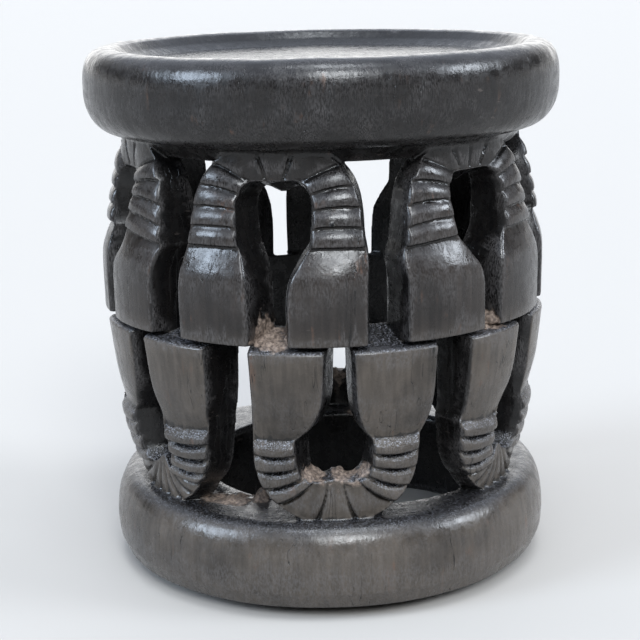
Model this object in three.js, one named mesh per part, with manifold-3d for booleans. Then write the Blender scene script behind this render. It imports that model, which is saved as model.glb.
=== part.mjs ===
// A Bamileke stool, carved from one block of wood: a thick round seat with a dished top, an openwork wall
// of double bells in two tiers, and a base ring. Millimetres, +Z up, the front towards -Y, the origin on
// the floor under the middle. Angles are in degrees around the stool, from the front towards +X.

import * as THREE from 'three';
import { mergeVertices } from 'three/addons/utils/BufferGeometryUtils.js';
import Module from 'manifold-3d';

const wasm = await Module();
wasm.setup();

// Seat: a round bolster with a shallow dish in its top and a low collar below, where the handles root
const overallHeight = 466;
const seatRadius = 210;
const seatWidestHeight = 431;
const seatUndersideHeight = 394;
const seatUndersideRadius = 180;
const seatCrestRadius = 186;
const dishDepth = 14;
const dishRadius = 181;
const dishFloorRadius = 165;
const collarHeight = 382;
const collarRadius = 170;
const collarSlope = 4;

// Base: a round bolster, flat where it stands, with a hole right through it that was cut off centre
const baseRadius = 199;
const baseWidestHeight = 38;
const baseCrestHeight = 82;
const baseCrestRadius = 178;
const baseFootRadius = 167;
const baseFootEdgeRadius = 192.5;
const baseFootEdgeHeight = 12;
const baseHoleRadius = 135;
const baseHoleFlare = 4;
const baseHoleOffset = 22;

// Wall: it stands a little left of the middle and is cut from the inside to one radius. The cuts between
// the bells run askew, so that the inner face is turned and a little wider than the outer one, and sags
// into the arch at the crowns.
const wallOffset = -1.5;
const wallInnerRadius = 156;
const wallReferenceRadius = 190;
const wallTwist = 1;
const backSpread = 4.5;
const edgeStep = 3;
const edgeDepth = 9;

// Handles: bands step out from the grooves between them and slope back at their upper edge. The fan over
// the crown lies a little behind them.
const grooveDepth = 6.5;
const bandsPerNeck = 4;
const fanSegments = 3;
const fanShare = 0.135;
const fanRecess = 3;
const bandStep = 1.5;
const bandChamfer = 5.5;
const archSquareness = 0.66;
const handleBow = 1.3;
const handleTaper = 0.6;

// Fineness of the facets
const turnSteps = 46;
const edgeSteps = 5;

// The carver set the bells out by eye. Each line is one pair of bells with the handle that joins them:
// for the left and then the right bell, the middle and width of its mouth and the middle and width of its
// neck.
const upperPairs = [
  [bell(-84, 20, -83, 16), bell(-57.3, 19.9, -52.8, 16.3)],
  [bell(-27.8, 18.5, -28, 13.5), bell(0.8, 18.4, 3.7, 12.8)],
  [bell(31.5, 21.6, 28, 14.3), bell(60.3, 22.8, 61, 14)],
  [bell(91, 20, 91, 14.5), bell(118.2, 20, 118.6, 14.5)],
  [bell(148.8, 20, 145.4, 13), bell(178.8, 22.6, 181, 17.4)],
  [bell(209.5, 19.5, 209.5, 14), bell(237.5, 21, 233.5, 17)],
];
const lowerPairs = [
  [bell(-66.6, 18, -71.6, 14), bell(-40.6, 20, -40.1, 15.5)],
  [bell(-9.3, 17.8, -13.6, 9.6), bell(17.5, 20.6, 18, 11.4)],
  [bell(48, 19, 44.4, 14), bell(76, 18, 76.5, 14.5)],
  [bell(106, 20, 105.5, 14), bell(133, 20, 133.5, 14)],
  [bell(163.5, 20, 162.5, 13), bell(191.6, 19.5, 191.8, 14)],
  [bell(227.5, 20, 227.5, 14), bell(254.5, 20, 255, 14)],
];

// One tier, told from the mouths of its bells to the crown of the handles. `up` is which way that goes.
// `fullness` and `shift` are shares of the mouth's width and of the way from the mouth's middle to the
// neck's. Radii are those of the outer face.
const upperTier = {
  up: 1,
  mouth: { height: 238, radius: 197.5, fullness: 1, shift: 0, innerLift: -3 },
  belly: { height: 284, radius: 198.5, fullness: 0.98, shift: 0.1 },
  shoulder: { height: 303, radius: 195, fullness: 0.88, shift: 0.6 },
  neckHeight: 316,
  archHeight: 343,
  crownHeight: 385,
  crownRadius: 178,
  crownWidth: 30,
  crownInnerLift: -6,
  bandRadius: 193.5,
  bandTilt: 0.4,
};
const lowerTier = {
  up: -1,
  mouth: { height: 233, radius: 197.5, fullness: 1, shift: 0, innerLift: 12 },
  belly: { height: 190, radius: 193, fullness: 0.95, shift: 0.1 },
  shoulder: { height: 168, radius: 188, fullness: 0.82, shift: 0.5 },
  neckHeight: 156,
  archHeight: 138,
  crownHeight: 98,
  crownRadius: 177,
  crownWidth: 36,
  crownInnerLift: 0,
  bandRadius: 189,
  bandTilt: 0.55,
};

function bell(mouthMiddle, mouthWidth, neckMiddle, neckWidth) {
  return { mouthMiddle, mouthWidth, neckMiddle, neckWidth };
}

const degree = Math.PI / 180;

// Arc length around the wall at its reference radius
function along(angle) {
  return angle * degree * wallReferenceRadius;
}

function onWall(arc, height, radius) {
  const angle = arc / wallReferenceRadius;
  return new THREE.Vector3(wallOffset + radius * Math.sin(angle), -radius * Math.cos(angle), height);
}

// A quarter of a rounded edge about (radius, height), from `fromAngle` to `toAngle`. A fullness of 2 is an
// ellipse, and more is squarer.
function roundedEdge(radius, height, reachOut, reachUp, fullness, fromAngle, toAngle) {
  const points = [];
  for (let step = 0; step <= edgeSteps; step += 1) {
    const angle = THREE.MathUtils.lerp(fromAngle, toAngle, step / edgeSteps) * degree;
    const out = Math.abs(Math.cos(angle)) ** (2 / fullness);
    const up = Math.sign(Math.sin(angle)) * Math.abs(Math.sin(angle)) ** (2 / fullness);
    points.push(new THREE.Vector2(radius + reachOut * out, height + reachUp * up));
  }
  return points;
}

// Closed solid from a profile of [radius, height] points turned about the vertical
function turned(profile) {
  const points = profile.map((point) => (point.isVector2 ? point : new THREE.Vector2(...point)));
  const geometry = new THREE.LatheGeometry(points, turnSteps);
  geometry.rotateX(Math.PI / 2);
  return toSolid(geometry);
}

function toSolid(geometry) {
  geometry.deleteAttribute('normal');
  geometry.deleteAttribute('uv');
  const merged = mergeVertices(geometry, 1e-4);
  return new wasm.Manifold(new wasm.Mesh({
    numProp: 3,
    vertProperties: Float32Array.from(merged.attributes.position.array),
    triVerts: Uint32Array.from(withoutSlivers(merged.index.array)),
  }));
}

// Merging turns the triangles at a lathe's axis into lines, which are dropped
function withoutSlivers(index) {
  const kept = [];
  for (let i = 0; i < index.length; i += 3) {
    const [a, b, c] = index.slice(i, i + 3);
    if (a !== b && b !== c && c !== a) kept.push(a, b, c);
  }
  return kept;
}

function seat() {
  const outward = seatRadius - seatUndersideRadius;
  const downward = seatWidestHeight - seatUndersideHeight;
  const upward = overallHeight - seatWidestHeight;
  const dishFloor = overallHeight - dishDepth;
  return turned([
    [0, seatUndersideHeight],
    [wallInnerRadius - collarSlope, seatUndersideHeight],
    [wallInnerRadius, collarHeight],
    [collarRadius, collarHeight],
    ...roundedEdge(seatUndersideRadius, seatWidestHeight, outward, downward, 2.2, -90, 0),
    ...roundedEdge(seatCrestRadius, seatWidestHeight, seatRadius - seatCrestRadius, upward, 3, 0, 90).slice(1),
    [dishRadius, overallHeight - dishDepth * 0.1],
    [THREE.MathUtils.lerp(dishRadius, dishFloorRadius, 0.4), overallHeight - dishDepth * 0.6],
    [dishFloorRadius, dishFloor],
    [0, dishFloor],
  ]);
}

function base() {
  const crestOut = baseRadius - baseCrestRadius;
  const crestUp = baseCrestHeight - baseWidestHeight;
  const bolster = turned([
    [0, 0],
    [baseFootRadius, 0],
    [baseFootEdgeRadius, baseFootEdgeHeight],
    [baseRadius - 1, (baseFootEdgeHeight + baseWidestHeight) / 2],
    ...roundedEdge(baseCrestRadius, baseWidestHeight, crestOut, crestUp, 2.4, 0, 90),
    [0, baseCrestHeight],
  ]);
  return bolster.subtract(baseHole());
}

// The hole flares at both ends, where its rough edge was knocked off
function baseHole() {
  const beyond = 1;
  const hole = turned([
    [0, -beyond],
    [baseHoleRadius + baseHoleFlare, -beyond],
    [baseHoleRadius, baseHoleFlare],
    [baseHoleRadius, baseCrestHeight - baseHoleFlare],
    [baseHoleRadius + baseHoleFlare, baseCrestHeight + beyond],
    [0, baseCrestHeight + beyond],
  ]);
  return hole.translate([baseHoleOffset, 0, 0]);
}

// The middle line of a handle as (arc length, height): up from the left neck, over the crown, down to the
// right neck
function handleLine(tier, left, right) {
  const start = new THREE.Vector2(along(left.neckMiddle), tier.neckHeight);
  const end = new THREE.Vector2(along(right.neckMiddle), tier.neckHeight);
  const crown = new THREE.Vector2((start.x + end.x) / 2, tier.crownHeight);
  const line = new THREE.CurvePath();
  const springers = [start, end].map((neck) => new THREE.Vector2(neck.x, tier.archHeight));
  const quarters = springers.map((springer) => [
    springer,
    new THREE.Vector2(springer.x, THREE.MathUtils.lerp(springer.y, crown.y, archSquareness)),
    new THREE.Vector2(THREE.MathUtils.lerp(crown.x, springer.x, archSquareness), crown.y),
    crown,
  ]);
  line.add(new THREE.LineCurve(start, springers[0]));
  line.add(new THREE.CubicBezierCurve(...quarters[0]));
  line.add(new THREE.CubicBezierCurve(...quarters[1].reverse()));
  line.add(new THREE.LineCurve(springers[1], end));
  return line;
}

// Where the sections of a handle stand along its line: three to a band or fan segment, each with the depth
// of its `groove`. Bands are cut back at their upper edge, and the fan is evenly grooved.
function handleStations(tier, length) {
  const fanLength = length * fanShare;
  const bandLength = (length - fanSegments * fanLength) / (2 * bandsPerNeck);
  const stations = [];
  let start = 0;
  for (let i = 0; i < 2 * bandsPerNeck + fanSegments; i += 1) {
    const isFan = i >= bandsPerNeck && i < bandsPerNeck + fanSegments;
    const upperEdgeLast = (i < bandsPerNeck) === (tier.up > 0);
    const size = isFan ? fanLength : bandLength;
    const rise = isFan || upperEdgeLast ? bandStep : bandChamfer;
    const fall = isFan || !upperEdgeLast ? bandStep : bandChamfer;
    const face = isFan ? fanRecess : 0;
    stations.push({ at: start, groove: grooveDepth });
    stations.push({ at: start + rise, groove: face });
    stations.push({ at: start + size - fall, groove: face });
    start += size;
  }
  stations.push({ at: length, groove: grooveDepth });
  return stations;
}

// How far a section at `at` along a handle has turned from level, in radians: none at the left neck, a half
// turn at the right one. Bands turn less than the handle does, and the fan makes up the rest.
function sectionTurn(tier, line, at, length) {
  const lineTurn = (distance) => {
    const climb = tier.up * line.getTangentAt(distance / length).y;
    return Math.acos(THREE.MathUtils.clamp(climb, -1, 1));
  };
  const fanStart = length * (1 - fanSegments * fanShare) / 2;
  const fanStartTurn = tier.bandTilt * lineTurn(fanStart);
  if (at <= fanStart) return tier.bandTilt * lineTurn(at);
  if (at >= length - fanStart) return Math.PI - tier.bandTilt * (Math.PI - lineTurn(at));
  return THREE.MathUtils.mapLinear(at, fanStart, length - fanStart, fanStartTurn, Math.PI - fanStartTurn);
}

// A section of six corners across the wall: the outer face, its two stepped edges and the inner face.
// `middle` is (arc length, height), `turn` is in radians and `innerLift` raises the inner face.
function section(tier, middle, turn, { width, radius, groove = 0, innerLift = 0 }) {
  const across = new THREE.Vector2(tier.up * Math.cos(turn), -Math.sin(turn));
  const twist = along(wallTwist);
  const corner = (offset, cornerRadius, shift = 0, lift = 0) => onWall(
    middle.x + across.x * offset + shift, middle.y + across.y * offset + lift, cornerRadius);
  const outer = width / 2;
  const body = outer + edgeStep;
  const inner = body + backSpread;
  return [
    corner(-outer, radius - groove),
    corner(outer, radius - groove),
    corner(body, radius - edgeDepth),
    corner(inner, wallInnerRadius, twist, innerLift),
    corner(-inner, wallInnerRadius, twist, innerLift),
    corner(-body, radius - edgeDepth),
  ];
}

// Sections of one bell, from its mouth to just short of its neck
function bellSections(tier, shape, turn) {
  return [tier.mouth, tier.belly, tier.shoulder].map(({ height, radius, fullness, shift, innerLift }) => {
    const angle = THREE.MathUtils.lerp(shape.mouthMiddle, shape.neckMiddle, shift);
    const width = along(shape.mouthWidth) * fullness;
    return section(tier, new THREE.Vector2(along(angle), height), turn, { width, radius, innerLift });
  });
}

// Sections of the handle, from the left neck over the crown to the right neck
function handleSections(tier, left, right) {
  const line = handleLine(tier, left, right);
  const length = line.getLength();
  return handleStations(tier, length).map(({ at, groove }) => {
    const middle = line.getPointAt(at / length);
    const nearCrown = 1 - Math.abs(2 * at / length - 1);
    const neckWidth = along(at < length / 2 ? left.neckWidth : right.neckWidth);
    const climb = (middle.y - tier.neckHeight) / (tier.crownHeight - tier.neckHeight);
    return section(tier, middle, sectionTurn(tier, line, at, length), {
      width: THREE.MathUtils.lerp(neckWidth, tier.crownWidth, nearCrown ** handleTaper),
      radius: THREE.MathUtils.lerp(tier.bandRadius, tier.crownRadius, Math.max(climb, 0) ** handleBow),
      groove,
      innerLift: tier.crownInnerLift * nearCrown,
    });
  });
}

// A pair of bells joined by its ribbed handle
function doubleBell(tier, [left, right]) {
  return lofted([
    ...bellSections(tier, left, 0),
    ...handleSections(tier, left, right),
    ...bellSections(tier, right, Math.PI).reverse(),
  ]);
}

// Closed solid through a row of sections with the same number of corners
function lofted(sections) {
  const corners = sections[0].length;
  const last = (sections.length - 1) * corners;
  const index = [];
  for (let row = 0; row < last; row += corners) {
    for (let i = 0; i < corners; i += 1) {
      const a = row + i;
      const b = row + (i + 1) % corners;
      index.push(a, b, b + corners, a, b + corners, a + corners);
    }
  }
  for (let i = 1; i + 1 < corners; i += 1) {
    index.push(0, i + 1, i);
    index.push(last, last + i, last + i + 1);
  }
  const geometry = new THREE.BufferGeometry();
  geometry.setFromPoints(sections.flat());
  geometry.setIndex(index);
  return toSolid(geometry);
}

function stool() {
  const pieces = [
    seat(),
    base(),
    ...upperPairs.map((pair) => doubleBell(upperTier, pair)),
    ...lowerPairs.map((pair) => doubleBell(lowerTier, pair)),
  ];
  return pieces.reduce((whole, piece) => whole.add(piece));
}

function toGeometry(solid) {
  const { vertProperties, triVerts } = solid.getMesh();
  const geometry = new THREE.BufferGeometry();
  geometry.setAttribute('position', new THREE.BufferAttribute(vertProperties, 3));
  geometry.setIndex(new THREE.BufferAttribute(triVerts, 1));
  geometry.computeVertexNormals();
  return geometry;
}

const blackenedWood = new THREE.MeshStandardMaterial({ color: 0x2b2826, roughness: 0.42, metalness: 0 });

const stoolMesh = new THREE.Mesh(toGeometry(stool()), blackenedWood);
stoolMesh.name = 'stool';

const part = new THREE.Group();
part.add(stoolMesh);

export default part;
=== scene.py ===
"""Looks of the carved stool: one carved piece of the CAD solid's form, its wood, a pale floor, soft light and
the photograph's camera. Lengths are in metres, and angles around the stool are in degrees from the front (-Y)
towards +X. The tiers and the places of the bells repeat the part's own sizes, and the ribs are finer."""

import math

import bpy
import numpy as np
from mathutils import Matrix, Vector


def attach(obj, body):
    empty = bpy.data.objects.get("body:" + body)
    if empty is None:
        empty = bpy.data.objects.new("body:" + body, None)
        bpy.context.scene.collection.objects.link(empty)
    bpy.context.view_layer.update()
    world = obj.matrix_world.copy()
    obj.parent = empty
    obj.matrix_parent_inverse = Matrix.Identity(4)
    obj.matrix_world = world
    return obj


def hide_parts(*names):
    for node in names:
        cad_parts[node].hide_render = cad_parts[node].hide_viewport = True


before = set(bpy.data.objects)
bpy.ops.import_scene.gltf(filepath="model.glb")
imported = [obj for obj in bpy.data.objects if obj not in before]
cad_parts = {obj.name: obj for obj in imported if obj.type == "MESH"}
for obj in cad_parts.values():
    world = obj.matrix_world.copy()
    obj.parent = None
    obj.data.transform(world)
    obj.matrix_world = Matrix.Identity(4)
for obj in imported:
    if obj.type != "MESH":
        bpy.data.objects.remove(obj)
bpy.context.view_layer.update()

# Fineness of the mesh, and of the shell that it is remade from
SEED = 7
VOXEL = 0.0011
MAX_TRIANGLES = 198000
TURN_STEPS = 240
EDGE_STEPS = 24
FACE_STEPS = 21
BELL_STEPS = 12
ARCH_STEPS = 200
STATION_SPACING = 0.0007

# Seat. A fullness is the exponent of a rounded edge: 2 is an ellipse, and more is squarer.
OVERALL_HEIGHT = 0.466
SEAT_RADIUS = 0.210
SEAT_WIDEST_HEIGHT = 0.431
SEAT_UNDERSIDE_HEIGHT = 0.394
SEAT_UNDERSIDE_RADIUS = 0.180
SEAT_UNDERSIDE_FULLNESS = 2.2
SEAT_CREST_RADIUS = 0.186
SEAT_CREST_FULLNESS = 3.0
SEAT_CENTRE_RADIUS = 0.001
COLLAR_HEIGHT = 0.382
COLLAR_RADIUS = 0.170
COLLAR_SLOPE = 0.004
DISH_DEPTH = 0.014
DISH_RADIUS = 0.181
DISH_FLOOR_RADIUS = 0.165
DISH_LIP_SHARE = 0.1
DISH_BEND_INWARD = 0.4
DISH_BEND_DOWN = 0.6

# Base ring
BASE_RADIUS = 0.199
BASE_WIDEST_HEIGHT = 0.038
BASE_HEIGHT = 0.082
BASE_CREST_RADIUS = 0.178
BASE_CREST_FULLNESS = 2.4
BASE_SIDE_INSET = 0.001
BASE_FOOT_RADIUS = 0.167
BASE_FOOT_EDGE = (0.1925, 0.012)
HOLE_CENTRE = (0.022, 0.0)
HOLE_RADIUS = 0.135
HOLE_FLARE = 0.004

# Stub of wood on the base's inner edge: angle, radius, height and size. Its levels are shares of the size, up
# and across.
STUB = (-26, 0.131, 0.084, 0.0075)
STUB_LEVELS = ((-0.9, 0.9), (0, 1.0), (0.6, 0.75), (1.0, 0.35))
STUB_SIDES = 8
STUB_TURN = 0.4
STUB_FLATNESS = 0.7
STUB_LEAN = 0.0012

# Wall. Its cut sides step out from the face by EDGE_STEP over EDGE_DEPTH, with a shoulder part of the way.
WALL_OFFSET = -0.0015
WALL_INNER_RADIUS = 0.156
REFERENCE_RADIUS = 0.190
WALL_TWIST = 1
BACK_SPREAD = 0.0045
EDGE_STEP = 0.003
EDGE_DEPTH = 0.009
SHOULDER_STEP_SHARE = 0.5
SHOULDER_DEPTH_SHARE = 0.28
FACE_BULGE = 0.0014

# Ribs of the handles. Each band has an undercut lower edge and slopes back at its upper one.
BANDS_PER_NECK = 4
BAND_STEP = 0.0011
GROOVE_END_SHARE = 0.75
SAG_FADE_AT_CROWN = 0.2
SAG_FADE_AT_NECK = 0.01
FAN_SHARE = 0.405
FAN_RECESS = 0.0035
FAN_GROOVE_WIDTH = 0.0024
FAN_GROOVE_DEPTH = 0.0042
FAN_GROOVE_SHARE = 0.26
ARCH_SQUARENESS = 0.66
HANDLE_BOW = 1.3
HANDLE_TAPER = 0.6

# For the left and then the right bell of each pair: middle and width of its mouth, middle and width of its
# neck, and how far its bands lean up at their outer end. Then how many wedges fan over the crown, and how much
# of the handle's own turn the bands take.
UPPER_PAIRS = [
    [(-84, 20, -83, 16, 0), (-57.3, 19.9, -52.8, 16.3, -8), 3, 0.4],
    [(-27.8, 18.5, -28, 13.5, 0), (0.8, 18.4, 3.7, 12.8, 0), 3, 0.4],
    [(31.5, 21.6, 28, 14.3, -5), (60.3, 22.8, 61, 14, 0), 4, 0.4],
    [(91, 20, 91, 14.5, 0), (118.2, 20, 118.6, 14.5, 3), 3, 0.4],
    [(148.8, 20, 145.4, 13, -3), (178.8, 22.6, 181, 17.4, 0), 4, 0.4],
    [(209.5, 19.5, 209.5, 14, 0), (237.5, 21, 233.5, 17, -4), 3, 0.4],
]
LOWER_PAIRS = [
    [(-66.6, 18, -71.6, 14, 0), (-40.6, 20, -40.1, 15.5, 4), 7, 0.1],
    [(-9.3, 17.8, -13.6, 9.6, 0), (17.5, 20.6, 18, 11.4, 0), 3, 0.55],
    [(48, 19, 44.4, 14, 4), (76, 18, 76.5, 14.5, 4), 7, 0.1],
    [(106, 20, 105.5, 14, 0), (133, 20, 133.5, 14, 4), 5, 0.4],
    [(163.5, 20, 162.5, 13, 0), (191.6, 19.5, 191.8, 14, 0), 3, 0.55],
    [(227.5, 20, 227.5, 14, 4), (254.5, 20, 255, 14, 0), 5, 0.4],
]

# Levels of a bell from its mouth on: height, radius, share of the mouth's width, share of the way to the
# neck's middle, and how far the inner face is raised. A bevel is its reach from a band's upper edge and its
# depth there, `gap` is how wide a groove is, and `sag` is how far the bands bow towards the crown in the
# middle.
UPPER_TIER = {
    "up": 1,
    "levels": [
        (0.238, 0.1975, 1, 0, -0.003),
        (0.284, 0.1980, 0.98, 0.1, 0),
        (0.303, 0.1937, 0.88, 0.6, 0),
    ],
    "neck_height": 0.316,
    "arch_height": 0.343,
    "crown_height": 0.385,
    "crown_radius": 0.178,
    "crown_width": 0.030,
    "crown_inner_lift": -0.006,
    "band_radius": 0.1930,
    "groove_depth": 0.0056,
    "bevel": (0.0085, 0.0030),
    "first_bevel": (0.0085, 0.0030),
    "bevel_roundness": 2,
    "gap": 0.0010,
    "gap_middle": 0.0003,
    "sag": 0.0012,
    "mouth_bevel": 0.0006,
}
LOWER_TIER = {
    "up": -1,
    "levels": [
        (0.2308, 0.1978, 1, 0, 0.012),
        (0.190, 0.193, 0.95, 0.1, 0),
        (0.168, 0.188, 0.82, 0.5, 0),
    ],
    "neck_height": 0.156,
    "arch_height": 0.138,
    "crown_height": 0.098,
    "crown_radius": 0.177,
    "crown_width": 0.036,
    "crown_inner_lift": 0,
    "band_radius": 0.1905,
    "groove_depth": 0.0085,
    "bevel": (0.0046, 0.0036),
    "first_bevel": (0.0068, 0.0062),
    "bevel_roundness": 1,
    "gap": 0.0010,
    "gap_middle": 0.0018,
    "sag": 0.0026,
    "mouth_bevel": 0.0024,
}
TIER_SPLIT = 0.2355

# Raw torn wood: angle, radius and height of a spot, and its reach
RAW_SPOTS = [
    (-16, 0.174, 0.242, 0.020),
    (-12, 0.184, 0.238, 0.014),
    (49, 0.184, 0.238, 0.015),
    (-5, 0.164, 0.119, 0.015),
    (5, 0.164, 0.119, 0.016),
    (11, 0.170, 0.124, 0.011),
    (-34, 0.143, 0.082, 0.016),
    (-41, 0.150, 0.082, 0.016),
    (-48, 0.150, 0.082, 0.012),
    (-26, 0.130, 0.086, 0.012),
    (120, 0.166, 0.118, 0.018),
    (178, 0.166, 0.118, 0.020),
    (196, 0.180, 0.240, 0.018),
    (165, 0.146, 0.082, 0.016),
    (242, 0.166, 0.118, 0.016),
]
RAW_STRETCH = (1, 1, 1.3)
RAW_FADE = (1.0, 0.75)

# Unevenness, each kind as (height, wavelength). The ragged kinds shift a raw spot's edge by a share of its
# reach.
SWELL = (0.0007, 0.055)
TOOL_MARKS = (0.00025, 0.024)
TEARS = (0.0022, (0.008, 0.008, 0.006))
FINE_TEARS = (0.001, 0.0035)
RAGGED = (0.35, 0.006)
FINE_RAGGED = (0.25, 0.0025)
ABOVE_FOOT = (0.001, 0.012)
OUTSIDE = (WALL_INNER_RADIUS - 0.004, WALL_INNER_RADIUS + 0.012)

# Places of the speckled tone: dust on the ledges, and a painted highlight for the sky's sheen on the upward
# bevels of the lower ribs. How upright the surface's normal is, and how near the ledge's height a point is
LEVEL_TOP = (0.45, 0.8)
SLOPING_TOP = (0.3, 0.5)
BELL_TOP_ABOVE_SPLIT = 0.004
NEAR_BELL_TOP = (0.020, 0.014)
NEAR_BASE_TOP = (0.012, 0.004)
BASE_DUST_SHARE = 0.3
ABOVE_CROWN = (0.006, 0.014)
BELOW_NECK = (-0.006, -0.002)

# Rounds and share of smoothing: after the remesh, and to measure how hollow a place is
SMOOTHING = (2, 0.4)
BEND_SMOOTHING = (3, 0.8)
FULL_BEND = 0.0006

# Colours of the wood in linear light. The pairs are mixed by a pattern.
BLACK_TONES = ((0.0035, 0.0034, 0.0036), (0.0065, 0.0058, 0.0056))
LOWER_TONES = ((0.044, 0.037, 0.030), (0.066, 0.055, 0.045))
UPPER_TONES = ((0.014, 0.0115, 0.010), (0.024, 0.0195, 0.017))
BARE_TONES = ((0.085, 0.064, 0.052), (0.27, 0.21, 0.17))
RUBBED_TONE = (0.080, 0.042, 0.026)
EDGE_TONE = (0.10, 0.095, 0.095)
HOLLOW_TONE = (0.004, 0.004, 0.004)
SCUFFED_TONE = (0.075, 0.062, 0.055)
# Dust on the ledges, and a painted highlight on the upward rib bevels
DUST_AND_SHEEN_TONE = (0.20, 0.205, 0.23)
CRACK_TONE = (0.003, 0.003, 0.003)
SPECULAR_LEVEL = 0.38
NOISE_ROUGHNESS = 0.55

# Camera of the photograph
CAMERA_DISTANCE = 1.394629
CAMERA_HEIGHT = 0.556279
CAMERA_PITCH = 13.862
CAMERA_ROLL = -1.303
CAMERA_YAW = -0.229
FOCAL_LENGTH_PIXELS = 1554.051
IMAGE_WIDTH = 640
SENSOR_WIDTH = 36.0

FLOOR_SIZE = 400
FLOOR_COLOUR = (0.34, 0.324, 0.303)
FLOOR_ROUGHNESS = 0.9

# Parts of the sky: the direction's axis, where along it the part fades in, and its strength
SKY_PARTS = {
    "above": ("Z", (0.22, 0.7), 1.4),
    "behind": ("Y", (0.7, 0.95), 2.4),
    "horizon": ("Z", (0.14, 0.05), 0.95),
}
SKY_TINT = (0.84, 0.92, 1.08)
ROOM_STRENGTH = 0.06

# Soft boxes: the way to the box from the stool, how many degrees across it is, its power and its colour
SOFT_BOXES = {
    "box_left": ((-0.78, -0.33, 0.45), 23, 2.5, (0.70, 0.83, 1)),
    "box_front": ((0.13, -0.76, 0.61), 22, 2.5, (0.93, 0.97, 1)),
    "box_right": ((0.82, -0.15, 0.45), 21, 2.1, (0.84, 0.91, 1)),
    "box_above": ((0.05, -0.25, 0.96), 24, 1.5, (0.90, 0.95, 1)),
}


def smoothstep(low, high, value):
    t = np.clip((value - low) / (high - low), 0, 1)
    return t * t * (3 - 2 * t)


def mix(a, b, share):
    return a + (b - a) * share


class Noise:
    """Smooth value noise, the same on every run"""

    SIZE = 64

    def __init__(self, seed):
        self.table = np.random.default_rng(seed).uniform(-1, 1, (self.SIZE,) * 3)

    def __call__(self, points, kind):
        """Noise of a (height, wavelength) kind at the points, within about its height either way"""
        height, wavelength = kind
        scaled = points / np.asarray(wavelength)
        cell = np.floor(scaled).astype(int)
        part = scaled - cell
        part = part * part * (3 - 2 * part)
        total = np.zeros(len(points))
        for corner in range(8):
            step = np.array([corner & 1, corner >> 1 & 1, corner >> 2 & 1])
            weight = np.prod(np.where(step, part, 1 - part), axis=1)
            x, y, z = ((cell + step) % self.SIZE).T
            total += weight * self.table[x, y, z]
        return height * total


class Shell:
    """Points and faces of several closed surfaces"""

    def __init__(self):
        self.points = []
        self.faces = []
        self.count = 0

    def add_rings(self, rings, closed):
        """Faces between rings of points: capped at both ends, or joined last to first where closed"""
        number, size, _ = rings.shape
        self.points.append(rings.reshape(-1, 3))
        start = self.count
        self.count += number * size
        for ring in range(number if closed else number - 1):
            here = start + ring * size
            there = start + (ring + 1) % number * size
            for i in range(size):
                j = (i + 1) % size
                self.faces.append((here + i, here + j, there + j, there + i))
        if not closed:
            self.faces.append(tuple(range(start, start + size))[::-1])
            self.faces.append(tuple(range(self.count - size, self.count)))


def rounded_edge(middle, reach, fullness, from_angle, to_angle):
    """Profile points on a quarter of a full ellipse around its middle"""
    angle = np.radians(np.linspace(from_angle, to_angle, EDGE_STEPS))
    across = np.abs(np.cos(angle)) ** (2 / fullness)
    up = np.abs(np.sin(angle)) ** (2 / fullness)
    return [(middle[0] + reach[0] * a, middle[1] + reach[1] * u) for a, u in zip(across, up)]


def turned(profile, centre=(0, 0)):
    """Rings of points, one for each point of the profile"""
    angle = np.linspace(0, 2 * math.pi, TURN_STEPS, endpoint=False)
    rings = []
    for r, z in profile:
        x = centre[0] + r * np.sin(angle)
        y = centre[1] - r * np.cos(angle)
        rings.append(np.stack([x, y, np.full(TURN_STEPS, z)], axis=1))
    return np.array(rings)


def seat_rings():
    dish_floor = OVERALL_HEIGHT - DISH_DEPTH
    dish_bend = mix(DISH_RADIUS, DISH_FLOOR_RADIUS, DISH_BEND_INWARD)
    under_middle = (SEAT_UNDERSIDE_RADIUS, SEAT_WIDEST_HEIGHT)
    under_reach = (SEAT_RADIUS - SEAT_UNDERSIDE_RADIUS, SEAT_UNDERSIDE_HEIGHT - SEAT_WIDEST_HEIGHT)
    crest_middle = (SEAT_CREST_RADIUS, SEAT_WIDEST_HEIGHT)
    crest_reach = (SEAT_RADIUS - SEAT_CREST_RADIUS, OVERALL_HEIGHT - SEAT_WIDEST_HEIGHT)
    return turned([
        (SEAT_CENTRE_RADIUS, SEAT_UNDERSIDE_HEIGHT),
        (WALL_INNER_RADIUS - COLLAR_SLOPE, SEAT_UNDERSIDE_HEIGHT),
        (WALL_INNER_RADIUS, COLLAR_HEIGHT),
        (COLLAR_RADIUS, COLLAR_HEIGHT),
        *rounded_edge(under_middle, under_reach, SEAT_UNDERSIDE_FULLNESS, 90, 0),
        *rounded_edge(crest_middle, crest_reach, SEAT_CREST_FULLNESS, 0, 90)[1:],
        (DISH_RADIUS, OVERALL_HEIGHT - DISH_DEPTH * DISH_LIP_SHARE),
        (dish_bend, OVERALL_HEIGHT - DISH_DEPTH * DISH_BEND_DOWN),
        (DISH_FLOOR_RADIUS, dish_floor),
        (SEAT_CENTRE_RADIUS, dish_floor),
    ])


def base_rings():
    crest_middle = (BASE_CREST_RADIUS, BASE_WIDEST_HEIGHT)
    crest_reach = (BASE_RADIUS - BASE_CREST_RADIUS, BASE_HEIGHT - BASE_WIDEST_HEIGHT)
    outside = turned([
        (BASE_FOOT_RADIUS, 0),
        BASE_FOOT_EDGE,
        (BASE_RADIUS - BASE_SIDE_INSET, (BASE_FOOT_EDGE[1] + BASE_WIDEST_HEIGHT) / 2),
        *rounded_edge(crest_middle, crest_reach, BASE_CREST_FULLNESS, 0, 90),
    ])
    hole = turned([
        (HOLE_RADIUS + HOLE_FLARE, BASE_HEIGHT),
        (HOLE_RADIUS, BASE_HEIGHT - HOLE_FLARE),
        (HOLE_RADIUS, HOLE_FLARE),
        (HOLE_RADIUS + HOLE_FLARE, 0),
    ], HOLE_CENTRE)
    return np.concatenate([outside, hole])


def along(angle):
    """Arc length at the wall's reference radius"""
    return math.radians(angle) * REFERENCE_RADIUS


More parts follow.
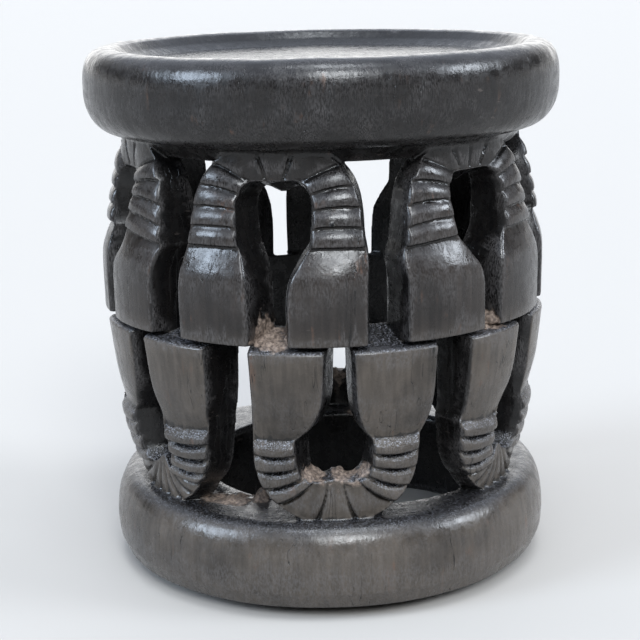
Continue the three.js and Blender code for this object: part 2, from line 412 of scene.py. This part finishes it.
def on_wall(arc, height, radius):
    """Points at arc lengths along the wall, which stands a little left of the seat's middle"""
    angle = arc / REFERENCE_RADIUS
    return np.stack([WALL_OFFSET + radius * np.sin(angle), -radius * np.cos(angle), height], axis=-1)


def stub_rings():
    """A lump that the carver left on the base's inner edge"""
    angle, radius, height, size = STUB
    middle = on_wall(along(angle), height, radius)
    turn = np.linspace(0, 2 * math.pi, STUB_SIDES, endpoint=False) + STUB_TURN
    outline = np.stack([np.cos(turn), np.sin(turn) * STUB_FLATNESS, np.zeros(STUB_SIDES)], axis=1)
    rings = []
    for level, share in STUB_LEVELS:
        rings.append(middle + outline * size * share + np.array([STUB_LEAN * level, 0, size * level]))
    return np.array(rings)


def section_rings(tier, middle, turn, half, radius, bite, inner_lift):
    """Rings of points across the wall, one for each row of the arguments. `bite` is how deep the outer face
    is cut at each of its points."""
    share = np.linspace(-1, 1, FACE_STEPS)
    across = np.stack([tier["up"] * np.cos(turn), -np.sin(turn)], axis=-1)
    twist = along(WALL_TWIST)
    inner = half + EDGE_STEP + BACK_SPREAD
    offsets = [half * t for t in share]
    radii = [radius + FACE_BULGE * (1 - t * t) - bite[:, i] for i, t in enumerate(share)]
    is_inner = [0] * FACE_STEPS
    for side in (1, -1):
        edge = [
            (side * (half + EDGE_STEP * SHOULDER_STEP_SHARE), radius - EDGE_DEPTH * SHOULDER_DEPTH_SHARE, 0),
            (side * (half + EDGE_STEP), radius - EDGE_DEPTH, 0),
            (side * inner, np.full_like(radius, WALL_INNER_RADIUS), 1),
        ]
        if side < 0:
            edge.reverse()
        for offset, edge_radius, at_inner in edge:
            offsets.append(offset)
            radii.append(edge_radius)
            is_inner.append(at_inner)
    columns = []
    for offset, point_radius, at_inner in zip(offsets, radii, is_inner):
        arc = middle[:, 0] + across[:, 0] * offset + at_inner * twist
        height = middle[:, 1] + across[:, 1] * offset + at_inner * inner_lift
        columns.append(on_wall(arc, height, point_radius))
    return np.stack(columns, axis=1)


def curve_through(keys, steps):
    """Rings on smooth curves through the key rings, without the last"""
    padded = np.concatenate([2 * keys[:1] - keys[1:2], keys, 2 * keys[-1:] - keys[-2:-1]])
    rings = []
    for i in range(1, len(keys)):
        a, b, c, d = padded[i - 1:i + 3]
        for t in np.arange(steps) / steps:
            rings.append(0.5 * (2 * b + (c - a) * t + (2 * a - 5 * b + 4 * c - d) * t ** 2
                                + (3 * b - a - 3 * c + d) * t ** 3))
    return np.array(rings)


def bell_rings(tier, bell, turn, neck_ring):
    """A bell from its mouth to the handle's first ring, which is left out"""
    mouth_middle, mouth_width, neck_middle = bell[:3]

    def ring(height, radius, width_share, shift, inner_lift):
        middle = np.array([[along(mix(mouth_middle, neck_middle, shift)), height]])
        half = np.array([along(mouth_width) * width_share / 2])
        no_bite = np.zeros((1, FACE_STEPS))
        return section_rings(tier, middle, np.array([turn]), half, np.array([radius]), no_bite, inner_lift)[0]

    height, radius, *rest = tier["levels"][0]
    rim = ring(height - tier["up"] * tier["mouth_bevel"], radius - tier["mouth_bevel"], *rest)
    keys = [ring(*level) for level in tier["levels"]]
    return np.concatenate([[rim], curve_through(np.array([*keys, neck_ring]), BELL_STEPS)])


def bezier(points, steps):
    a, b, c, d = (np.array(p) for p in points)
    t = np.linspace(0, 1, steps)[:, None]
    return a * (1 - t) ** 3 + 3 * b * t * (1 - t) ** 2 + 3 * c * t ** 2 * (1 - t) + d * t ** 3


def handle_line(tier, left, right):
    """The handle's middle line as (arc length, height), and the distance of each point along it"""
    neck, arch, top = tier["neck_height"], tier["arch_height"], tier["crown_height"]
    start, end = along(left[2]), along(right[2])
    crown = ((start + end) / 2, top)
    pieces = [[(start, neck)]]
    for foot in (start, end):
        above_foot = (foot, mix(arch, top, ARCH_SQUARENESS))
        beside_crown = (mix(crown[0], foot, ARCH_SQUARENESS), top)
        quarter = bezier([(foot, arch), above_foot, beside_crown, crown], ARCH_STEPS)
        pieces.append(quarter if foot == start else quarter[::-1][1:])
    pieces.append([(end, neck)])
    line = np.concatenate(pieces)
    distance = np.concatenate([[0], np.hypot(*np.diff(line, axis=0).T).cumsum()])
    return line, distance


def section_turn(tier, pair, line, distance, at):
    """How far each section has turned from level: none at the left neck, a half turn at the right one. The
    bands' own lean fades out towards the fan."""
    left, right, _, tilt = pair
    length = distance[-1]
    steps = np.diff(line, axis=0)
    climb = tier["up"] * steps[:, 1] / np.hypot(*steps.T)
    line_turn = np.arccos(np.clip(np.interp(at, (distance[1:] + distance[:-1]) / 2, climb), -1, 1))
    fan_start = length * (1 - FAN_SHARE) / 2
    full_lean = fan_start / 3
    start_turn = tilt * np.interp(fan_start, at, line_turn)
    turn = mix(start_turn, math.pi - start_turn, (at - fan_start) / (length - 2 * fan_start))
    turn = np.where(at <= fan_start, tilt * line_turn, turn)
    turn = np.where(at >= length - fan_start, math.pi - tilt * (math.pi - line_turn), turn)
    outer_up = tier["up"] * np.radians([left[4], right[4]])
    turn = turn + outer_up[0] * smoothstep(fan_start, full_lean, at)
    return turn - outer_up[1] * smoothstep(fan_start, full_lean, length - at)


def band_bite(tier, from_lower, size, is_first, middle):
    """Depth cut from the face at a distance from a band's lower edge, which overhangs a groove. The upper
    edge is bevelled."""
    depth = tier["groove_depth"] * mix(GROOVE_END_SHARE, 1, middle)
    gap = (tier["gap"] + tier["gap_middle"] * middle) / 2
    joins_bell = is_first and tier["up"] < 0
    from_upper = size - from_lower - (0 if joins_bell else gap)
    reach, bevel_depth = tier["first_bevel" if is_first else "bevel"]
    bevel = bevel_depth * np.clip(1 - from_upper / reach, 0, 1) ** tier["bevel_roundness"]
    groove = depth * smoothstep(BAND_STEP / 2, -BAND_STEP / 2, from_upper)
    undercut = depth * (1 - smoothstep(gap, gap + BAND_STEP, from_lower))
    return np.maximum(undercut, bevel if joins_bell else np.maximum(bevel, groove))


def rib_bites(tier, wedges, length, at):
    """How deep the ribs' grooves cut the handle's face at each station and across it"""
    fan_length = length * FAN_SHARE / wedges
    fan_groove = min(FAN_GROOVE_DEPTH, FAN_GROOVE_SHARE * fan_length)
    band_length = length * (1 - FAN_SHARE) / (2 * BANDS_PER_NECK)
    from_crown = np.abs(2 * at / length - 1)
    to_crown = np.where(at < length / 2, 1, -1) * smoothstep(0, SAG_FADE_AT_CROWN, from_crown)
    from_neck = smoothstep(0, SAG_FADE_AT_NECK, np.minimum(at, length - at))
    bites = np.zeros((len(at), FACE_STEPS))
    for column, share in enumerate(np.linspace(-1, 1, FACE_STEPS)):
        middle = 1 - share ** 2
        place = np.clip(at - tier["sag"] * middle * to_crown * from_neck, 0, length)
        from_mouth = np.minimum(place, length - place)
        number = np.floor(from_mouth / band_length)
        within = from_mouth - number * band_length
        from_lower = within if tier["up"] > 0 else band_length - within
        first = band_bite(tier, from_lower, band_length, True, middle)
        other = band_bite(tier, from_lower, band_length, False, middle)
        banded = np.where(number == 0, first, other)
        in_fan = (place - BANDS_PER_NECK * band_length) % fan_length
        nearest = np.minimum(in_fan, fan_length - in_fan)
        fanned = FAN_RECESS + fan_groove * np.clip(1 - nearest / FAN_GROOVE_WIDTH, 0, 1)
        bites[:, column] = np.where(number < BANDS_PER_NECK, banded, fanned)
    return bites


def pair_rings(tier, pair):
    """A pair of bells joined by its ribbed handle, as one row of rings"""
    left, right, wedges, _ = pair
    line, distance = handle_line(tier, left, right)
    length = distance[-1]
    at = np.linspace(0, length, int(length / STATION_SPACING))
    middle = np.stack([np.interp(at, distance, line[:, i]) for i in range(2)], axis=1)
    near_crown = 1 - np.abs(2 * at / length - 1)
    neck_width = np.where(at < length / 2, along(left[3]), along(right[3]))
    climb = (middle[:, 1] - tier["neck_height"]) / (tier["crown_height"] - tier["neck_height"])
    handle = section_rings(
        tier,
        middle,
        section_turn(tier, pair, line, distance, at),
        mix(neck_width, tier["crown_width"], near_crown ** HANDLE_TAPER) / 2,
        mix(tier["band_radius"], tier["crown_radius"], np.clip(climb, 0, 1) ** HANDLE_BOW),
        rib_bites(tier, wedges, length, at),
        tier["crown_inner_lift"] * near_crown)
    first = bell_rings(tier, left, 0, handle[0])
    last = bell_rings(tier, right, math.pi, handle[-1])[::-1]
    return np.concatenate([first, handle, last])


def carved_shell():
    """Closed surfaces that overlap where the wood is one, as an object"""
    shell = Shell()
    shell.add_rings(seat_rings(), closed=False)
    shell.add_rings(base_rings(), closed=True)
    shell.add_rings(stub_rings(), closed=False)
    for tier, pairs in ((UPPER_TIER, UPPER_PAIRS), (LOWER_TIER, LOWER_PAIRS)):
        for pair in pairs:
            shell.add_rings(pair_rings(tier, pair), closed=False)
    mesh = bpy.data.meshes.new("carving")
    mesh.from_pydata(np.concatenate(shell.points).tolist(), [], shell.faces)
    piece = bpy.data.objects.new("carving", mesh)
    bpy.context.scene.collection.objects.link(piece)
    return piece


def positions(mesh):
    flat = np.empty(3 * len(mesh.vertices))
    mesh.vertices.foreach_get("co", flat)
    return flat.reshape(-1, 3)


def set_positions(mesh, points):
    mesh.vertices.foreach_set("co", points.ravel())
    mesh.update()


def normals(mesh):
    flat = np.empty(3 * len(mesh.vertices))
    mesh.vertex_normals.foreach_get("vector", flat)
    return flat.reshape(-1, 3)


def edges(mesh):
    flat = np.empty(2 * len(mesh.edges), dtype=np.int32)
    mesh.edges.foreach_get("vertices", flat)
    return flat.reshape(-1, 2)


def relaxed(points, pairs, rounds, share):
    """Points moved towards the mean of their neighbours"""
    first, second = pairs.T
    ends = np.concatenate([first, second])
    others = np.concatenate([second, first])
    degree = np.maximum(np.bincount(ends, minlength=len(points)), 1)[:, None]
    for _ in range(rounds):
        columns = [np.bincount(ends, points[others, i], minlength=len(points)) for i in range(3)]
        points = points + share * (np.stack(columns, axis=1) / degree - points)
    return points


def raw_wood(points, noise):
    """How raw and torn the wood is at each point, 0 to 1"""
    raw = np.zeros(len(points))
    ragged = noise(points, RAGGED) + noise(points, FINE_RAGGED)
    for angle, radius, height, reach in RAW_SPOTS:
        middle = on_wall(along(angle), height, radius)
        distance = np.linalg.norm((points - middle) * RAW_STRETCH, axis=1) / reach
        raw = np.maximum(raw, smoothstep(*RAW_FADE, distance + ragged))
    return raw


def dust_and_sheen_places(points, normal):
    """How much each point lies on the tops of the lower bells or of the base, or on the upward bevels of their
    ribs, where the speckled tone is a painted highlight, 0 to 1
    """
    height = points[:, 2]
    level = smoothstep(*LEVEL_TOP, normal[:, 2])
    sloping = smoothstep(*SLOPING_TOP, normal[:, 2])
    bells = smoothstep(*NEAR_BELL_TOP, abs(height - TIER_SPLIT - BELL_TOP_ABOVE_SPLIT))
    ring = BASE_DUST_SHARE * smoothstep(*NEAR_BASE_TOP, abs(height - BASE_HEIGHT))
    # The upward bevels of the lower ribs get the speckled tone as a painted highlight for the sky's sheen
    ribs = smoothstep(*ABOVE_CROWN, height - LOWER_TIER["crown_height"])
    ribs = ribs * smoothstep(*BELOW_NECK, LOWER_TIER["neck_height"] - height)
    return np.maximum(level * np.maximum(bells, ring), sloping * ribs)


def carved(points, normal):
    """Points with the unevenness of hand carving, and torn wood at the raw spots. The foot stays flat. What
    is added to the points takes each kind of noise from another part of its table."""
    noise = Noise(SEED)
    radius = np.hypot(points[:, 0] - WALL_OFFSET, points[:, 1])
    above_foot = smoothstep(*ABOVE_FOOT, points[:, 2])
    outside = smoothstep(*OUTSIDE, radius)
    swell = noise(points, SWELL) + noise(points + 3, TOOL_MARKS) * outside
    tear = noise(points + 7, TEARS) + noise(points + 9, FINE_TEARS)
    torn = raw_wood(points, noise) * tear
    return points + normal * ((swell + torn) * above_foot)[:, None]


def applied(piece, kind, **settings):
    """The piece's mesh after a modifier, which it keeps"""
    modifier = piece.modifiers.new(kind.lower(), kind)
    for name, value in settings.items():
        setattr(modifier, name, value)
    graph = bpy.context.evaluated_depsgraph_get()
    mesh = bpy.data.meshes.new_from_object(piece.evaluated_get(graph))
    piece.modifiers.clear()
    piece.data = mesh
    return mesh


def set_attribute(mesh, name, values):
    attribute = mesh.attributes.new(name, "FLOAT", "POINT")
    attribute.data.foreach_set("value", values.astype(np.float32))


def carving():
    """The stool as one mesh, with attributes that tell the material where wear, speckled ash, a painted
    highlight on the rib bevels and raw wood are
    """
    piece = carved_shell()
    mesh = applied(piece, "REMESH", mode="VOXEL", voxel_size=VOXEL, adaptivity=0)
    set_positions(mesh, relaxed(positions(mesh), edges(mesh), *SMOOTHING))
    set_positions(mesh, carved(positions(mesh), normals(mesh)))
    triangles = sum(len(polygon.vertices) - 2 for polygon in mesh.polygons)
    mesh = applied(piece, "DECIMATE", ratio=min(1, MAX_TRIANGLES / triangles))
    mesh.shade_smooth()
    points = positions(mesh)
    normal = normals(mesh)
    bend = (relaxed(points, edges(mesh), *BEND_SMOOTHING) - points) * normal
    radial = points[:, :2] / np.hypot(points[:, 0], points[:, 1])[:, None]
    outward = (normal[:, :2] * radial).sum(axis=1)
    set_attribute(mesh, "hollow", np.clip(bend.sum(axis=1) / FULL_BEND, -1, 1))
    set_attribute(mesh, "raw", raw_wood(points, Noise(SEED)))
    set_attribute(mesh, "dust_and_sheen", dust_and_sheen_places(points, normal))
    set_attribute(mesh, "outward", np.clip(outward, 0, 1))
    return piece


def node(tree, kind, inputs=None, **settings):
    """A new node, with its inputs linked or set"""
    made = tree.nodes.new(kind)
    for name, value in settings.items():
        setattr(made, name, value)
    for name, value in (inputs or {}).items():
        if isinstance(value, bpy.types.NodeSocket):
            tree.links.new(value, made.inputs[name])
        else:
            made.inputs[name].default_value = value
    return made


class Nodes:
    """Short names for the nodes of a material or the world"""

    def __init__(self, tree, coordinates):
        self.tree = tree
        self.place = node(tree, "ShaderNodeTexCoord").outputs[coordinates]

    def noise(self, scale, detail, stretch=(1, 1, 1)):
        place = node(self.tree, "ShaderNodeMapping", {"Vector": self.place, "Scale": stretch}).outputs[0]
        inputs = {"Vector": place, "Scale": scale, "Detail": detail, "Roughness": NOISE_ROUGHNESS}
        return node(self.tree, "ShaderNodeTexNoise", inputs).outputs[0]

    def attribute(self, name):
        return node(self.tree, "ShaderNodeAttribute", attribute_name=name).outputs["Fac"]

    def ramp(self, value, low, high, out_low=0.0, out_high=1.0):
        """The value's range from low to high stretched smoothly to another range"""
        inputs = {"Value": value, "From Min": low, "From Max": high, "To Min": out_low, "To Max": out_high}
        return node(self.tree, "ShaderNodeMapRange", inputs, interpolation_type="SMOOTHSTEP").outputs[0]

    def math(self, operation, first, second=0.0):
        return node(self.tree, "ShaderNodeMath", {0: first, 1: second}, operation=operation).outputs[0]

    def times(self, *values):
        total = values[0]
        for value in values[1:]:
            total = self.math("MULTIPLY", total, value)
        return total

    def colour(self, share, first, second):
        made = node(self.tree, "ShaderNodeMix", {"Factor": share}, data_type="RGBA")
        for socket, value in ((made.inputs[6], first), (made.inputs[7], second)):
            if isinstance(value, bpy.types.NodeSocket):
                self.tree.links.new(value, socket)
            else:
                socket.default_value = (*value, 1)
        return made.outputs[2]

    def bump(self, height, distance, strength, normal=None):
        inputs = {"Height": height, "Distance": distance, "Strength": strength}
        if normal:
            inputs["Normal"] = normal
        return node(self.tree, "ShaderNodeBump", inputs).outputs[0]


def blackened_wood():
    material = bpy.data.materials.new("blackened_wood")
    material.use_nodes = True
    tree = material.node_tree
    shader = tree.nodes["Principled BSDF"]
    wood = Nodes(tree, "Object")
    outward = wood.attribute("outward")
    hollow = wood.attribute("hollow")
    dust_and_sheen = wood.attribute("dust_and_sheen")
    torn = wood.attribute("raw")

    # Patterns: scale per metre, detail, and stretch along X, Y and Z
    cloud = wood.noise(16, 5)
    patch = wood.noise(60, 6, (1, 1, 0.5))
    streak = wood.noise(260, 5, (1, 1, 0.025))
    fine = wood.noise(1100, 3, (1, 1, 0.25))
    speck = wood.noise(750, 2)
    pit = wood.noise(420, 5)
    cuts = wood.noise(75, 3, (1, 1, 0.5))
    scuff = wood.noise(150, 6, (0.5, 0.5, 1.6))
    polish = wood.noise(110, 5)
    crack_line = wood.noise(95, 2, (1, 1, 0.05))
    crack_area = wood.noise(38, 2, (1, 1, 0.4))

    # Soot-black wood that handling has worn to a dull brown-grey on the outer faces, with a lighter worn tone
    # in the lower tier than in the upper one
    height = node(tree, "ShaderNodeSeparateXYZ", {"Vector": wood.place}).outputs["Z"]
    grain = wood.ramp(streak, 0.3, 0.7)
    # Painted shade under the seat: from the crowns up the worn share fades to a tenth, and the seat above
    # stays black
    outside_painted_seat_shade = wood.ramp(height, 0.33, 0.40, 1, 0.1)
    worn = wood.times(wood.ramp(outward, 0.5, 1.0), wood.ramp(cloud, 0.3, 0.6, 0.4, 1), outside_painted_seat_shade)
    lower = wood.colour(grain, *LOWER_TONES)
    upper = wood.colour(grain, *UPPER_TONES)
    faded = wood.colour(wood.ramp(height, TIER_SPLIT - 0.01, TIER_SPLIT + 0.02), lower, upper)
    tone = wood.colour(worn, wood.colour(grain, *BLACK_TONES), faded)

    # Rubbed patches, light edges, dark hollows and scuffs
    rubbed_grain = wood.times(wood.ramp(patch, 0.60, 0.72), wood.ramp(streak, 0.45, 0.62))
    rubbed = wood.times(rubbed_grain, wood.ramp(outward, 0.6, 0.95))
    tone = wood.colour(wood.times(rubbed, 0.6), tone, RUBBED_TONE)
    edge = wood.times(wood.ramp(hollow, -0.2, -0.7), wood.ramp(fine, 0.38, 0.62))
    tone = wood.colour(wood.times(edge, 0.4), tone, EDGE_TONE)
    tone = wood.colour(wood.times(wood.ramp(hollow, 0.15, 0.6), 0.8), tone, HOLLOW_TONE)
    scuffed = wood.times(wood.ramp(scuff, 0.64, 0.72), wood.ramp(cloud, 0.45, 0.6))
    tone = wood.colour(wood.times(scuffed, 0.5), tone, SCUFFED_TONE)

    # Dust and ash on the ledges, the same speckled tone as a painted highlight on the upward rib bevels, and
    # raw torn wood
    dust_and_sheen_specks = wood.times(dust_and_sheen, wood.ramp(speck, 0.52, 0.64))
    tone = wood.colour(wood.times(dust_and_sheen_specks, 0.7), tone, DUST_AND_SHEEN_TONE)
    bare = wood.colour(wood.ramp(pit, 0.35, 0.65), *BARE_TONES)
    tone = wood.colour(wood.times(torn, wood.ramp(patch, 0.3, 0.5, 0.5, 1)), tone, bare)

    # Fine upright cracks
    from_line = wood.math("ABSOLUTE", wood.math("SUBTRACT", crack_line, 0.5))
    crack = wood.times(wood.ramp(from_line, 0.007, 0.001), wood.ramp(crack_area, 0.52, 0.6))
    tone = wood.colour(wood.times(crack, 0.9), tone, CRACK_TONE)
    tree.links.new(tone, shader.inputs["Base Color"])
    shader.inputs["Specular IOR Level"].default_value = SPECULAR_LEVEL

    # Scuffs, dust, the painted rib highlight and raw wood are duller than the handled wood
    roughness = wood.ramp(polish, 0.3, 0.7, 0.17, 0.35)
    for dull, more in ((scuffed, 0.15), (dust_and_sheen, 0.05), (torn, 0.4)):
        roughness = wood.math("ADD", roughness, wood.times(dull, more))
    tree.links.new(roughness, shader.inputs["Roughness"])

    # Relief too fine for the mesh: pattern, depth in metres and strength
    speck_bump_strength = wood.math("ADD", wood.times(dust_and_sheen, 0.9), 0.04)
    uncracked = wood.math("SUBTRACT", 1.0, crack)
    reliefs = [
        (cuts, 0.0012, 0.5),
        (pit, 0.0004, 0.35),
        (scuff, 0.0006, 0.25),
        (streak, 0.0003, 0.3),
        (speck, 0.0008, speck_bump_strength),
        (uncracked, 0.0008, 0.6),
    ]
    normal = None
    for pattern, depth, strength in reliefs:
        normal = wood.bump(pattern, depth, strength, normal)
    tree.links.new(normal, shader.inputs["Normal"])
    return material


def camera():
    pitch, roll, yaw = (math.radians(a) for a in (CAMERA_PITCH, CAMERA_ROLL, CAMERA_YAW))
    forward = Vector((math.sin(yaw) * math.cos(pitch), math.cos(yaw) * math.cos(pitch), -math.sin(pitch)))
    level = Vector((math.cos(yaw), -math.sin(yaw), 0))
    up = level.cross(forward)
    right = level * math.cos(roll) + up * math.sin(roll)
    top = up * math.cos(roll) - level * math.sin(roll)
    data = bpy.data.cameras.new("camera")
    data.sensor_width = SENSOR_WIDTH
    data.lens = FOCAL_LENGTH_PIXELS / IMAGE_WIDTH * SENSOR_WIDTH
    made = bpy.data.objects.new("camera", data)
    turn = Matrix((right, top, -forward)).transposed().to_4x4()
    made.matrix_world = Matrix.Translation((0, -CAMERA_DISTANCE, CAMERA_HEIGHT)) @ turn
    bpy.context.scene.collection.objects.link(made)
    bpy.context.scene.camera = made


def floor():
    corners = [(-FLOOR_SIZE, -FLOOR_SIZE, 0), (FLOOR_SIZE, -FLOOR_SIZE, 0),
               (FLOOR_SIZE, FLOOR_SIZE, 0), (-FLOOR_SIZE, FLOOR_SIZE, 0)]
    mesh = bpy.data.meshes.new("floor")
    mesh.from_pydata(corners, [], [(0, 1, 2, 3)])
    made = bpy.data.objects.new("floor", mesh)
    bpy.context.scene.collection.objects.link(made)
    material = bpy.data.materials.new("floor")
    material.use_nodes = True
    shader = material.node_tree.nodes["Principled BSDF"]
    shader.inputs["Base Color"].default_value = (*FLOOR_COLOUR, 1)
    shader.inputs["Roughness"].default_value = FLOOR_ROUGHNESS
    mesh.materials.append(material)


def sky():
    """A soft sky from above and behind, a pale horizon and a dim room"""
    world = bpy.data.worlds.new("world")
    world.use_nodes = True
    made = Nodes(world.node_tree, "Generated")
    direction = node(made.tree, "ShaderNodeSeparateXYZ", {"Vector": made.place}).outputs
    shares = {}
    strength = 0.0
    for name, (axis, fade, part_strength) in SKY_PARTS.items():
        shares[name] = made.ramp(direction[axis], *fade)
        strength = made.math("MAXIMUM", strength, made.times(shares[name], part_strength))
    background = world.node_tree.nodes["Background"]
    made.tree.links.new(made.colour(shares["above"], (1, 1, 1), SKY_TINT), background.inputs["Color"])
    made.tree.links.new(made.math("ADD", strength, ROOM_STRENGTH), background.inputs["Strength"])
    bpy.context.scene.world = world
    bpy.context.scene.view_settings.view_transform = "Standard"


def soft_box(name, direction, spread, power, colour):
    """A far light as broad as a soft box, seen from the stool in the direction given"""
    data = bpy.data.lights.new(name, "SUN")
    data.angle = math.radians(spread)
    data.energy = power
    data.color = colour
    made = bpy.data.objects.new(name, data)
    made.rotation_euler = (-Vector(direction)).to_track_quat("-Z", "Y").to_euler()
    bpy.context.scene.collection.objects.link(made)


stool = carving()
stool.data.materials.append(blackened_wood())
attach(stool, "root")
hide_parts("stool")
floor()
sky()
for box_name, box in SOFT_BOXES.items():
    soft_box(box_name, *box)
camera()
